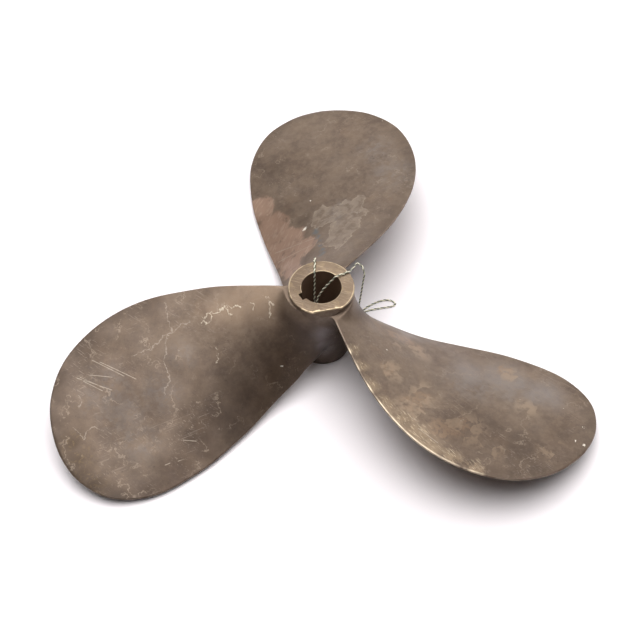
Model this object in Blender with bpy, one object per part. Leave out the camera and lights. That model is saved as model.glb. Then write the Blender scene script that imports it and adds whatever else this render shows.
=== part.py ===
"""Three-blade left-handed boat propeller, one bronze casting, with a length of twine through its bore.

The origin is on the shaft axis at the casting's centre of mass. +Z points to the hub's large end,
where the shaft enters. Blade outlines are flat lists of (radius, arc), where arc is measured round
the axis from the blade's own reference line: negative to the high edge, positive to the low edge.
"""

import math

import bmesh
import bpy
import numpy as np
from mathutils import Vector

MM = 0.001

# Driving dimensions
BLADES = 3
TIP_RADIUS = 225 * MM
FIRST_BLADE_ANGLE = math.radians(76.5)
HUB_TOP = 39.7 * MM
HUB_BOTTOM = -32.3 * MM
HUB_TOP_RADIUS = 25 * MM
HUB_BOTTOM_RADIUS = 20.8 * MM
HUB_RIM_ROUND = 0.8 * MM
HUB_FOOT_ROUND = 2.2 * MM
BORE_TOP_RADIUS = 15.1 * MM
BORE_TAPER = 1 / 20
KEYWAY_WIDTH = 6.5 * MM
KEYWAY_REACH = 18.1 * MM
KEYWAY_ANGLE = math.radians(209.4)

# Screw surface: pitch and rake at 0.62 of the tip radius, and how they change along the blade
REFERENCE_RADIUS = 140 * MM
PITCH = 304 * MM
PITCH_RISE = 0.32
PITCH_EASE_RADIUS = 92 * MM
PITCH_EASE = 0.0243 / MM
REFERENCE_HEIGHT = 1 * MM
RAKE = math.tan(math.radians(3.2))
ROOT_LIFT_RADIUS = 115 * MM
ROOT_LIFT = 0.00195 / MM

# Blade outline from the root out, the tip shared by both edges
HIGH_EDGE = (
    (18.5, -9), (46, -22), (92, -40), (138, -47.3), (170, -40.6), (198, -21.9), (215, 4.4), (222.5, 30),
)
LOW_EDGE = (
    (18.5, 16), (30, 31), (46, 40.6), (70, 51.4), (110, 72.7), (150, 90.9), (190, 99.6), (212, 92),
    (222.5, 73.4),
)
TIP = (225, 53)
EDGE_THICKNESS = 1.8 * MM
AXIS_THICKNESS = 12.5 * MM
TIP_THICKNESS = 3 * MM
FACE_SHARE = 0.4
FILLET = 8 * MM
SPAN_ROWS = 34
ROOT_CROWDING = 1.35
CHORD_COLUMNS = 20
PATH_STEPS = 40
HUB_SEGMENTS = 64
FOOT_STEPS = 4
RIM_STEPS = 2
SHARP_ANGLE = math.radians(35)

# Worn flat on the front of the hub's top rim: its distance from the axis on the face, and its slope
RIM_FLAT_ANGLE = math.radians(280)
RIM_FLAT_DISTANCE = 21.8 * MM
RIM_FLAT_SLOPE = math.radians(58)
RIM_FLAT_BLOCK = 30 * MM
CUT_BEYOND = 5 * MM

# Twine from its stopper knot behind the hub, over the rim, down the bore and up again, over the rim
# to the floor, then the bow beyond the second knot: (x, y, z) in millimetres, knots as (place, radius)
TWINE_DIAMETER = 1.4 * MM
TWINE_POINT_SPACING = 3.3 * MM
STOPPER_KNOT = ((-13.1, 37.1, 9.8), 1.6)
TWINE_ROUTE = (
    (-11.7, 36.2, 11.3), (-10.1, 35.2, 14), (-8.2, 33.4, 18.2), (-7.1, 32.5, 21.8), (-6.2, 31.7, 26),
    (-5.5, 30.7, 30.4), (-4.7, 29.3, 34.8), (-4.3, 28, 38.2), (-4.1, 26.8, 40.8), (-4.1, 25.2, 41.7),
    (-4.3, 23, 41.3),
    (-4.6, 18.5, 40.9), (-4.7, 16.3, 41.1), (-4.8, 14.3, 41.4), (-4.9, 12.8, 40.4), (-5, 12.2, 37.2),
    (-5.1, 12.3, 31), (-5.4, 11.8, 19), (-5.6, 11.1, 9), (-5.6, 10.3, -1), (-5.4, 9.2, -9), (-5, 7.2, -13.2),
    (-4.4, 5, -10), (-3.9, 4.6, -3), (-3.6, 5.9, 8), (-3.2, 7.1, 16), (-0.9, 7.3, 22), (2.5, 7.4, 29),
    (7.1, 7.8, 36), (10.2, 8.2, 40), (11.9, 8.8, 41.2), (13.8, 9.6, 41.3), (16.9, 11, 40.9), (20, 12.6, 40.8),
    (22.6, 14, 41), (24.2, 15.4, 41.7), (25.8, 16.9, 43.3), (28.1, 17.9, 44.3), (30.6, 16.6, 43.3),
    (31.9, 14.8, 41.2), (32.7, 13, 36.2), (31.9, 13.3, 30), (31.4, 13.4, 24), (30.2, 14.5, 10.6),
    (28.9, 16.2, -3), (28.3, 17.9, -11), (27.8, 19.5, -19), (27.8, 21.6, -26.4), (28.6, 24.8, -30.2),
)
BOW_KNOT = ((30, 27, -30.5), 1.7)
BOW_ROUTE = (
    (31.3, 28.8, -31.3), (34, 31.5, -31.5), (38, 34.5, -31.55), (44.9, 38, -31.55), (51.6, 39.3, -31.55),
    (56.3, 37.6, -31.55), (57.9, 35, -31.55), (55.5, 33.1, -31.55), (48, 31.8, -31.55), (37.8, 29.9, -31.55),
    (34.4, 28.6, -31.4), (32.2, 27.1, -31.2),
)


def material(name, color, roughness, metallic):
    made = bpy.data.materials.new(name)
    made.use_nodes = True
    shader = made.node_tree.nodes["Principled BSDF"]
    shader.inputs["Base Color"].default_value = (*color, 1)
    shader.inputs["Roughness"].default_value = roughness
    shader.inputs["Metallic"].default_value = metallic
    return made


def add_object(name, mesh):
    obj = bpy.data.objects.new(name, mesh)
    bpy.context.scene.collection.objects.link(obj)
    return obj


def mesh_object(name, work):
    bmesh.ops.recalc_face_normals(work, faces=work.faces)
    mesh = bpy.data.meshes.new(name)
    work.to_mesh(mesh)
    work.free()
    mesh.shade_smooth()
    mesh.set_sharp_from_angle(angle=SHARP_ANGLE)
    return add_object(name, mesh)


def boolean(target, operation, other):
    """Adds a Boolean to target and hides other, which is only its tool."""
    modifier = target.modifiers.new(operation.lower(), "BOOLEAN")
    modifier.operation = operation
    modifier.solver = "EXACT"
    modifier.object = other
    other.hide_render = True
    other.display_type = "WIRE"


def smooth_path(points, count, crowding=1):
    """count points along a Catmull-Rom curve through points, crowded towards its start."""
    points = np.array(points, float)
    padded = np.vstack([2 * points[0] - points[1], points, 2 * points[-1] - points[-2]])
    steps = np.sqrt(np.linalg.norm(np.diff(padded, axis=0), axis=1))
    dense = []
    for n in range(len(points) - 1):
        p0, p1, p2, p3 = padded[n : n + 4]
        d0, d1, d2 = steps[n : n + 3]
        leave = (p1 - p0) / d0 - (p2 - p0) / (d0 + d1) + (p2 - p1) / d1
        arrive = (p2 - p1) / d1 - (p3 - p1) / (d1 + d2) + (p3 - p2) / d2
        t = np.linspace(0, 1, PATH_STEPS, endpoint=False)[:, None]
        dense.append(
            (2 * t**3 - 3 * t**2 + 1) * p1
            + (t**3 - 2 * t**2 + t) * leave * d1
            + (3 * t**2 - 2 * t**3) * p2
            + (t**3 - t**2) * arrive * d1
        )
    dense = np.vstack([*dense, points[-1]])
    along = np.concatenate([[0], np.cumsum(np.linalg.norm(np.diff(dense, axis=0), axis=1))])
    wanted = along[-1] * np.linspace(0, 1, count) ** crowding
    return np.stack([np.interp(wanted, along, column) for column in dense.T], axis=1)


def screw_point(radius, arc):
    """A point of the blade's screw surface, with the blade's reference line along +X."""
    pitch = PITCH + PITCH_RISE * (radius - REFERENCE_RADIUS)
    pitch -= PITCH_EASE * max(0, PITCH_EASE_RADIUS - radius) ** 2
    height = REFERENCE_HEIGHT - RAKE * (radius - REFERENCE_RADIUS)
    height += ROOT_LIFT * max(0, ROOT_LIFT_RADIUS - radius) ** 2
    height -= pitch / (2 * math.pi * radius) * arc
    angle = arc / radius
    return Vector((radius * math.cos(angle), radius * math.sin(angle), height))


def screw_normal(radius, arc):
    step = 0.2 * MM
    outward = screw_point(radius + step, arc) - screw_point(radius - step, arc)
    around = screw_point(radius, arc + step) - screw_point(radius, arc - step)
    return outward.cross(around).normalized()


def hub_radius(height):
    share = (height - HUB_BOTTOM) / (HUB_TOP - HUB_BOTTOM)
    return HUB_BOTTOM_RADIUS + (HUB_TOP_RADIUS - HUB_BOTTOM_RADIUS) * share


def section_lifts(radius, across):
    """Offsets of the driving face and of the domed back from the screw surface, across from -1 to 1."""
    dome = 1 - across**2
    thickest = AXIS_THICKNESS + (TIP_THICKNESS - AXIS_THICKNESS) * radius / TIP_RADIUS
    near_hub = min(1, max(0, (radius - HUB_TOP_RADIUS) / FILLET))
    fillet = FILLET * (1 - math.sqrt(1 - (1 - near_hub) ** 2)) * dome
    swell = (thickest - EDGE_THICKNESS) * dome
    face = -EDGE_THICKNESS / 2 - FACE_SHARE * swell - fillet
    back = EDGE_THICKNESS / 2 + (1 - FACE_SHARE) * swell + fillet
    return face, back


def blade(number):
    """One blade from inside the hub wall to its tip, as a closed shell of two curved grids."""
    high = smooth_path([*HIGH_EDGE, TIP], SPAN_ROWS + 1, ROOT_CROWDING)[:-1] * MM
    low = smooth_path([*LOW_EDGE, TIP], SPAN_ROWS + 1, ROOT_CROWDING)[:-1] * MM
    work = bmesh.new()
    sides = ([], [])
    for start, end in zip(high, low):
        rows = ([], [])
        for column in range(CHORD_COLUMNS + 1):
            across = -math.cos(math.pi * column / CHORD_COLUMNS)
            radius, arc = start + (end - start) * (1 + across) / 2
            point, normal = screw_point(radius, arc), screw_normal(radius, arc)
            for row, lift in zip(rows, section_lifts(radius, across)):
                row.append(work.verts.new(point + normal * lift))
        sides[0].append(rows[0])
        sides[1].append(rows[1])
    radius, arc = TIP[0] * MM, TIP[1] * MM
    ends = [
        work.verts.new(screw_point(radius, arc) + screw_normal(radius, arc) * lift)
        for lift in (-EDGE_THICKNESS / 2, EDGE_THICKNESS / 2)
    ]
    for grid, end in zip(sides, ends):
        for first, second in zip(grid, grid[1:]):
            for n in range(CHORD_COLUMNS):
                work.faces.new((first[n], first[n + 1], second[n + 1], second[n]))
        for n in range(CHORD_COLUMNS):
            work.faces.new((grid[-1][n], grid[-1][n + 1], end))
    face, back = sides
    for n in range(CHORD_COLUMNS):
        work.faces.new((face[0][n], face[0][n + 1], back[0][n + 1], back[0][n]))
    for edge in (0, CHORD_COLUMNS):
        for n in range(len(face) - 1):
            work.faces.new((face[n][edge], face[n + 1][edge], back[n + 1][edge], back[n][edge]))
        work.faces.new((face[-1][edge], ends[0], ends[1], back[-1][edge]))
    made = mesh_object(f"blade_{number}", work)
    made.rotation_euler.z = FIRST_BLADE_ANGLE + 2 * math.pi * number / BLADES
    return made


def turned(name, profile, segments):
    """A closed solid turned about Z from (radius, height) pairs that start and end on the axis."""
    work = bmesh.new()
    points = [work.verts.new((radius, 0, height)) for radius, height in profile]
    edges = [work.edges.new(pair) for pair in zip(points, points[1:])]
    bmesh.ops.spin(
        work,
        geom=points + edges,
        cent=(0, 0, 0),
        axis=(0, 0, 1),
        angle=2 * math.pi,
        steps=segments,
        use_merge=True,
    )
    bmesh.ops.remove_doubles(work, verts=work.verts, dist=1e-6)
    return mesh_object(name, work)


def rounded_corner(corner, radius, first_turn, steps):
    """Points of a quarter round of this radius whose square corner would be at corner."""
    x, z = corner
    centre_z = z + radius if first_turn < 0 else z - radius
    angles = [first_turn + math.pi / 2 * n / steps for n in range(steps + 1)]
    return [(x - radius + radius * math.cos(a), centre_z + radius * math.sin(a)) for a in angles]


def hub_body():
    foot = rounded_corner((hub_radius(HUB_BOTTOM), HUB_BOTTOM), HUB_FOOT_ROUND, -math.pi / 2, FOOT_STEPS)
    rim = rounded_corner((hub_radius(HUB_TOP), HUB_TOP), HUB_RIM_ROUND, 0, RIM_STEPS)
    return turned("casting", [(0, HUB_BOTTOM), *foot, *rim, (0, HUB_TOP)], HUB_SEGMENTS)


def bore_cutter():
    depth = HUB_TOP - HUB_BOTTOM
    top = (BORE_TOP_RADIUS + CUT_BEYOND * BORE_TAPER, HUB_TOP + CUT_BEYOND)
    bottom = (BORE_TOP_RADIUS - (depth + CUT_BEYOND) * BORE_TAPER, HUB_BOTTOM - CUT_BEYOND)
    return turned("bore_cutter", [(0, bottom[1]), bottom, top, (0, top[1])], HUB_SEGMENTS)


def keyway_cutter():
    """A square-sided slot whose floor follows the bore's taper."""
    depth = HUB_TOP - HUB_BOTTOM
    work = bmesh.new()
    rings = []
    for height, reach in (
        (HUB_BOTTOM - CUT_BEYOND, KEYWAY_REACH - (depth + CUT_BEYOND) * BORE_TAPER),
        (HUB_TOP + CUT_BEYOND, KEYWAY_REACH + CUT_BEYOND * BORE_TAPER),
    ):
        half = KEYWAY_WIDTH / 2
        corners = ((0, -half), (reach, -half), (reach, half), (0, half))
        rings.append([work.verts.new((x, y, height)) for x, y in corners])
    work.faces.new(rings[0])
    work.faces.new(rings[1])
    for n in range(4):
        work.faces.new((rings[0][n], rings[0][n - 1], rings[1][n - 1], rings[1][n]))
    made = mesh_object("keyway_cutter", work)
    made.rotation_euler.z = KEYWAY_ANGLE
    return made


def rim_flat_cutter():
    """A tilted block that takes the worn flat off the front of the top rim."""
    work = bmesh.new()
    bmesh.ops.create_cube(work, size=RIM_FLAT_BLOCK)
    made = mesh_object("rim_flat_cutter", work)
    outward = Vector((math.cos(RIM_FLAT_ANGLE), math.sin(RIM_FLAT_ANGLE), 0))
    edge = outward * RIM_FLAT_DISTANCE + Vector((0, 0, HUB_TOP))
    facing = outward * math.sin(RIM_FLAT_SLOPE) + Vector((0, 0, math.cos(RIM_FLAT_SLOPE)))
    made.rotation_mode = "QUATERNION"
    made.rotation_quaternion = facing.to_track_quat("Z", "Y")
    made.location = edge + facing * RIM_FLAT_BLOCK / 2
    return made


def casting():
    """Hub and blades as one solid, then the bore, the keyway and the worn rim cut out of it."""
    body = hub_body()
    boolean(body, "DIFFERENCE", rim_flat_cutter())
    for number in range(BLADES):
        boolean(body, "UNION", blade(number))
    boolean(body, "DIFFERENCE", bore_cutter())
    boolean(body, "DIFFERENCE", keyway_cutter())
    body.name = "propeller_casting"
    body.data.materials.append(material("bronze", (0.23, 0.19, 0.155), 0.5, 1.0))
    return body


def twine_run(name, route, finish):
    """A tube along a smooth curve through the route's points."""
    route = np.array(route) * MM
    fine = smooth_path(route, PATH_STEPS * len(route))
    length = np.linalg.norm(np.diff(fine, axis=0), axis=1).sum()
    points = smooth_path(route, round(length / TWINE_POINT_SPACING) + 1)
    curve = bpy.data.curves.new(name, "CURVE")
    curve.dimensions = "3D"
    curve.bevel_depth = TWINE_DIAMETER / 2
    curve.bevel_resolution = 2
    curve.use_fill_caps = True
    spline = curve.splines.new("POLY")
    spline.points.add(len(points) - 1)
    for spot, point in zip(spline.points, points):
        spot.co = (*point, 1)
    curve.materials.append(finish)
    return add_object(name, curve)


def twine_knot(name, knot, finish):
    place, radius = knot
    work = bmesh.new()
    bmesh.ops.create_icosphere(work, subdivisions=2, radius=radius * MM)
    made = mesh_object(name, work)
    made.location = Vector(place) * MM
    made.data.materials.append(finish)
    return made


def twine():
    finish = material("twine", (0.62, 0.62, 0.53), 0.9, 0.0)
    twine_knot("twine_stopper_knot", STOPPER_KNOT, finish)
    twine_run("twine", TWINE_ROUTE, finish)
    twine_knot("twine_bow_knot", BOW_KNOT, finish)
    twine_run("twine_bow", BOW_ROUTE, finish)


def main():
    for obj in list(bpy.data.objects):
        bpy.data.objects.remove(obj, do_unlink=True)
    casting()
    twine()


main()
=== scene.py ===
import math

import bpy
import numpy as np
from mathutils import Matrix, Vector
from mathutils.kdtree import KDTree


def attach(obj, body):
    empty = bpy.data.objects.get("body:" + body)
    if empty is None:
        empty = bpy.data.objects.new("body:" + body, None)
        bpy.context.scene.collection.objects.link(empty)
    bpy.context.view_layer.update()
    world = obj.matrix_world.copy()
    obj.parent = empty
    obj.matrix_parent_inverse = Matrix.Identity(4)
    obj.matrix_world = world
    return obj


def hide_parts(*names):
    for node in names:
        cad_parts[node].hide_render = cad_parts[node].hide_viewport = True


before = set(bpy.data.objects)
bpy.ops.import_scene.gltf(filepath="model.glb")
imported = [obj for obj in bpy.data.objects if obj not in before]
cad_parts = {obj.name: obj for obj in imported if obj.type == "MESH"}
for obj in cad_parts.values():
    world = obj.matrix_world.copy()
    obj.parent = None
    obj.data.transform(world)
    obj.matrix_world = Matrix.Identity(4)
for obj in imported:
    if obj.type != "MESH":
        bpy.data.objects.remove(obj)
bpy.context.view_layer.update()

MM = 0.001

# The view
# A long lens from in front of the hub and about 54 degrees above the floor, turned a little
# clockwise, so that the blades and the hub's end lie in the frame as in the photograph.
CAMERA_PLACE = Vector((-1.7, -950.9, 1296.7)) * MM
CAMERA_RIGHT = Vector((0.9996, -0.0228, -0.0167))
CAMERA_UP = Vector((0.0283, 0.8065, 0.5905))
LENS = 118.26

camera_data = bpy.data.cameras.new("camera")
camera_data.lens = LENS
camera_data.clip_start = 0.05
camera = bpy.data.objects.new("camera", camera_data)
bpy.context.scene.collection.objects.link(camera)
camera_back = CAMERA_RIGHT.cross(CAMERA_UP).normalized()
camera_up = camera_back.cross(CAMERA_RIGHT).normalized()
turn = Matrix((camera_back.cross(camera_up) * -1, camera_up, camera_back)).transposed().to_4x4()
turn.translation = CAMERA_PLACE
camera.matrix_world = turn
bpy.context.scene.camera = camera

# Floor and studio light
# A plain white sweep under soft light from above and behind, with a dark room in front, as at a
# product table: faces that lean towards the front stay dark, and shadows fall to the front.
FLOOR_HEIGHT = -32.3 * MM
FLOOR_SIZE = 12
FLOOR_COLOR = "F6F2F6"
LIT_COLOR = "FFFDFB"
UNLIT_STRENGTH = 0.03
# Each light's side, the cosines from it at which its light begins and is full, and its strengths.
OVERHEAD_LIGHT = ((0.02, 0.16, 0.98), (0.7, 0.92), (UNLIT_STRENGTH, 3.7))
BACKDROP_LIGHT = ((0.3, 0.95, 0.3), (0.45, 0.8), (0, 1.05))
PANEL_PLACE = Vector((-0.9, 1.1, 3.4))
PANEL_SIZE = (1.6, 1.2)
PANEL_POWER = 10


def linear(hex_color):
    """An sRGB hex colour as linear red, green, blue and alpha."""
    parts = [int(hex_color[n : n + 2], 16) / 255 for n in (0, 2, 4)]
    return (*[c / 12.92 if c <= 0.04045 else ((c + 0.055) / 1.055) ** 2.4 for c in parts], 1)


def node(tree, kind, inputs=None, **settings):
    """Adds a node. Each input takes a value or another node's output socket."""
    made = tree.nodes.new("ShaderNode" + kind)
    for name, value in settings.items():
        setattr(made, name, value)
    for name, value in (inputs or {}).items():
        if isinstance(value, bpy.types.NodeSocket):
            tree.links.new(value, made.inputs[name])
        else:
            made.inputs[name].default_value = value
    return made


def deselect():
    if bpy.context.object and bpy.context.object.mode != "OBJECT":
        bpy.ops.object.mode_set(mode="OBJECT")
    bpy.ops.object.select_all(action="DESELECT")


deselect()
bpy.ops.mesh.primitive_plane_add(size=FLOOR_SIZE, location=(0, 0, FLOOR_HEIGHT))
floor = bpy.context.object
floor.name = "floor"
# Matt white paper: shadows lie soft on it and it mirrors nothing.
white_sweep = bpy.data.materials.new("white_paper_sweep")
white_sweep.use_nodes = True
sweep_shader = white_sweep.node_tree.nodes["Principled BSDF"]
sweep_shader.inputs["Base Color"].default_value = linear(FLOOR_COLOR)
sweep_shader.inputs["Roughness"].default_value = 0.9
sweep_shader.inputs["Specular IOR Level"].default_value = 0.1
floor.data.materials.append(white_sweep)

panel_data = bpy.data.lights.new("soft_panel", "AREA")
panel_data.shape = "RECTANGLE"
panel_data.size, panel_data.size_y = PANEL_SIZE
panel_data.energy = PANEL_POWER
panel = bpy.data.objects.new("soft_panel", panel_data)
panel.location = PANEL_PLACE
panel.rotation_mode = "QUATERNION"
panel.rotation_quaternion = PANEL_PLACE.to_track_quat("Z", "Y")
bpy.context.scene.collection.objects.link(panel)

room = bpy.data.worlds.new("studio_room")
room.use_nodes = True
sky = room.node_tree
direction = node(sky, "TexCoord").outputs["Generated"]
glows = []
for side, (begins, full), (weakest, strongest) in (OVERHEAD_LIGHT, BACKDROP_LIGHT):
    towards = node(sky, "VectorMath", {0: direction, 1: Vector(side).normalized()}, operation="DOT_PRODUCT")
    glow = node(
        sky, "MapRange",
        {"Value": towards.outputs["Value"], "From Min": begins, "From Max": full,
         "To Min": weakest, "To Max": strongest},
        interpolation_type="SMOOTHSTEP",
    )
    glows.append(glow.outputs["Result"])
strength = node(sky, "Math", {0: glows[0], 1: glows[1]}, operation="MAXIMUM")
sky.nodes["Background"].inputs["Color"].default_value = linear(LIT_COLOR)
sky.links.new(strength.outputs["Value"], sky.nodes["Background"].inputs["Strength"])
bpy.context.scene.world = room
bpy.context.scene.view_settings.view_transform = "Standard"

# The twine
# Thin two-strand twine, one strand undyed and one dyed dark green. It starts at a stopper knot
# behind the hub, goes over the rim, down the bore and up, over the rim again to the floor, and
# ends in a small bow. It is free: it only hangs on the hub.
TWINE_LAY = 5.2 * MM
STRAND_OFFSET = 0.34 * MM
STRAND_RADII = (0.48 * MM, 0.34 * MM)
STRAND_SIDES = 8
KNOT_STRAND_SIDES = 7
KNOT_STRAND_SHARE = 0.8
KNOT_OFFSET_SHARE = 0.75
KNOT_TWINE_RADIUS = 0.62
KNOT_DEPTH = 1.4
KNOT_POINTS = 90
RUN_POINTS = 720
BOW_POINTS = 170
STEPS_PER_POINT = 60
UNDYED_COLORS = ("F3F0DC", "DAD4BC")
GREEN_COLORS = ("66705E", "3A4438")
FLECKS_PER_MM = 0.9
# Fibres are a few hundredths of a millimetre thick, too fine to show, and are drawn coarser.
FIBRES_PER_MM = 2.6
FIBRE_HEIGHT = 0.1 * MM
STOPPER_KNOT = ((-13.1, 37.1, 9.8), 1.6)
TWINE_ROUTE = (
    (-11.7, 36.2, 11.3), (-10.1, 35.2, 14), (-8.2, 33.4, 18.2), (-7.1, 32.5, 21.8), (-6.2, 31.7, 26),
    (-5.5, 30.7, 30.4), (-4.7, 29.3, 34.8), (-4.3, 28, 38.2), (-4.1, 26.8, 40.8), (-4.1, 25.2, 41.7),
    (-4.3, 23, 41.3), (-4.6, 18.5, 40.9), (-4.7, 16.3, 41.1), (-4.8, 14.3, 41.4), (-4.9, 12.8, 40.4),
    (-5, 12.2, 37.2), (-5.1, 12.3, 31), (-5.4, 11.8, 19), (-5.6, 11.1, 9), (-5.6, 10.3, -1),
    (-5.4, 9.2, -9), (-5, 7.2, -13.2), (-4.4, 5, -10), (-3.9, 4.6, -3), (-3.6, 5.9, 8),
    (-3.2, 7.1, 16), (-0.9, 7.3, 22), (2.5, 7.4, 29), (7.1, 7.8, 36), (10.2, 8.2, 40),
    (11.9, 8.8, 41.2), (13.8, 9.6, 41.3), (16.9, 11, 40.9), (20, 12.6, 40.8), (22.6, 14, 41),
    (24.2, 15.4, 41.7), (25.8, 16.9, 43.3), (28.1, 17.9, 44.3), (30.6, 16.6, 43.3), (31.9, 14.8, 41.2),
    (32.7, 13, 36.2), (31.9, 13.3, 30), (31.4, 13.4, 24), (30.2, 14.5, 10.6), (28.9, 16.2, -3),
    (28.3, 17.9, -11), (27.8, 19.5, -19), (27.8, 21.6, -26.4), (28.6, 24.8, -30.2),
)
BOW_KNOT = ((30, 27, -30.5), 1.7)
BOW_ROUTE = (
    (31.3, 28.8, -31.3), (34, 31.5, -31.5), (38, 34.5, -31.55), (44.9, 38, -31.55), (51.6, 39.3, -31.55),
    (56.3, 37.6, -31.55), (57.9, 35, -31.55), (55.5, 33.1, -31.55), (48, 31.8, -31.55),
    (37.8, 29.9, -31.55), (34.4, 28.6, -31.4), (32.2, 27.1, -31.2),
)


def smooth_path(points, count):
    """count points at even spacing along a Catmull-Rom curve through points."""
    points = np.array(points, float)
    padded = np.vstack([2 * points[0] - points[1], points, 2 * points[-1] - points[-2]])
    steps = np.sqrt(np.linalg.norm(np.diff(padded, axis=0), axis=1))
    dense = []
    for n in range(len(points) - 1):
        p0, p1, p2, p3 = padded[n : n + 4]
        d0, d1, d2 = steps[n : n + 3]
        leave = (p1 - p0) / d0 - (p2 - p0) / (d0 + d1) + (p2 - p1) / d1
        arrive = (p2 - p1) / d1 - (p3 - p1) / (d1 + d2) + (p3 - p2) / d2
        t = np.linspace(0, 1, STEPS_PER_POINT, endpoint=False)[:, None]
        dense.append(
            (2 * t**3 - 3 * t**2 + 1) * p1
            + (t**3 - 2 * t**2 + t) * leave * d1
            + (3 * t**2 - 2 * t**3) * p2
            + (t**3 - t**2) * arrive * d1
        )
    dense = np.vstack([*dense, points[-1]])
    along = np.concatenate([[0], np.cumsum(np.linalg.norm(np.diff(dense, axis=0), axis=1))])
    wanted = along[-1] * np.linspace(0, 1, count)
    return np.stack([np.interp(wanted, along, column) for column in dense.T], axis=1)


def link_mesh(name, points, faces, finishes, face_finish=None):
    """A smooth-shaded mesh object at the origin, with its points in metres."""
    mesh = bpy.data.meshes.new(name)
    mesh.from_pydata([tuple(p) for p in points], [], faces)
    for finish in finishes:
        mesh.materials.append(finish)
    if face_finish is not None:
        mesh.polygons.foreach_set("material_index", face_finish)
    mesh.polygons.foreach_set("use_smooth", [True] * len(mesh.polygons))
    made = bpy.data.objects.new(name, mesh)
    bpy.context.scene.collection.objects.link(made)
    return made


def twisted_strands(name, path, offset, radii, finishes, sides=STRAND_SIDES):
    """Two strands that turn about a path, as twine is laid, each closed with a cap at both ends."""
    round_turn = np.arange(sides) / sides * 2 * math.pi
    ahead = np.gradient(path, axis=0)
    ahead /= np.linalg.norm(ahead, axis=1)[:, None]
    side = np.cross(ahead[0], (0, 0, 1.0)) if abs(ahead[0][2]) < 0.9 else np.cross(ahead[0], (1.0, 0, 0))
    sides_along = []
    for direction in ahead:
        side = side - direction * (side @ direction)
        side = side / np.linalg.norm(side)
        sides_along.append(side)
    across = np.array(sides_along)
    above = np.cross(ahead, across)
    along = np.concatenate([[0], np.cumsum(np.linalg.norm(np.diff(path, axis=0), axis=1))])
    points, faces, finish = [], [], []
    for strand in range(len(finishes)):
        angle = 2 * math.pi * (along / TWINE_LAY + strand / len(finishes))
        middle = path + offset * (np.cos(angle)[:, None] * across + np.sin(angle)[:, None] * above)
        start = len(points)
        for n in range(len(path)):
            for turned in round_turn:
                way = math.cos(turned) * across[n] + math.sin(turned) * above[n]
                points.append(middle[n] + radii[strand] * way)
        for n in range(len(path) - 1):
            low, high = start + n * sides, start + (n + 1) * sides
            for k in range(sides):
                faces.append((low + k, low + (k + 1) % sides, high + (k + 1) % sides, high + k))
        faces.append(tuple(start + k for k in reversed(range(sides))))
        faces.append(tuple(start + (len(path) - 1) * sides + k for k in range(sides)))
        finish += [strand] * ((len(path) - 1) * sides + 2)
    return link_mesh(name, points, faces, finishes, finish)


def overhand_knot(name, knot, finishes):
    """A small tight overhand knot of the same twine, a trefoil drawn in to the knot's size."""
    place, radius = knot
    t = np.linspace(0, 2 * math.pi, KNOT_POINTS)
    trefoil = np.stack(
        [np.sin(t) + 2 * np.sin(2 * t), np.cos(t) - 2 * np.cos(2 * t), -KNOT_DEPTH * np.sin(3 * t)], axis=1,
    )
    trefoil_radius = 3
    path = (np.array(place) + trefoil * (radius - KNOT_TWINE_RADIUS) / trefoil_radius) * MM
    radii = [strand * KNOT_STRAND_SHARE for strand in STRAND_RADII]
    return twisted_strands(name, path, STRAND_OFFSET * KNOT_OFFSET_SHARE, radii, finishes, KNOT_STRAND_SIDES)


def spun_fibre(name, clean, soiled):
    """Spun natural fibre: matt, with a fine uneven surface and faint darker flecks of dirt."""
    made = bpy.data.materials.new(name)
    made.use_nodes = True
    tree = made.node_tree
    shader = tree.nodes["Principled BSDF"]
    place = node(tree, "TexCoord").outputs["Object"]
    flecks = node(
        tree, "TexNoise", {"Vector": place, "Scale": FLECKS_PER_MM / MM, "Detail": 3, "Roughness": 0.6},
    )
    tone = node(tree, "MapRange", {"Value": flecks.outputs["Fac"], "From Min": 0.35, "From Max": 0.65})
    mixed = node(
        tree, "Mix", {"Factor": tone.outputs["Result"], "A": linear(soiled), "B": linear(clean)},
        data_type="RGBA",
    )
    fibres = node(tree, "TexNoise", {"Vector": place, "Scale": FIBRES_PER_MM / MM, "Detail": 2})
    bump = node(tree, "Bump", {"Height": fibres.outputs["Fac"], "Strength": 0.5, "Distance": FIBRE_HEIGHT})
    tree.links.new(mixed.outputs["Result"], shader.inputs["Base Color"])
    tree.links.new(bump.outputs["Normal"], shader.inputs["Normal"])
    shader.inputs["Roughness"].default_value = 0.95
    shader.inputs["Sheen Weight"].default_value = 0.2
    return made


undyed_yarn = spun_fibre("undyed_cotton_yarn", *UNDYED_COLORS)
green_yarn = spun_fibre("green_dyed_yarn", *GREEN_COLORS)
yarns = (undyed_yarn, green_yarn)

twine_path = smooth_path(np.array(TWINE_ROUTE) * MM, RUN_POINTS)
twine = twisted_strands("twine_run", twine_path, STRAND_OFFSET, STRAND_RADII, yarns)
bow_path = smooth_path(np.array(BOW_ROUTE) * MM, BOW_POINTS)
bow = twisted_strands("twine_bow_loop", bow_path, STRAND_OFFSET, STRAND_RADII, yarns)
stopper_knot = overhand_knot("twine_end_knot", STOPPER_KNOT, yarns)
bow_knot = overhand_knot("twine_loop_knot", BOW_KNOT, yarns)
for piece, replaced in (
    (twine, "twine"), (bow, "twine_bow"), (stopper_knot, "twine_stopper_knot"), (bow_knot, "twine_bow_knot"),
):
    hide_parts(replaced)
    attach(piece, "root")

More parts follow.
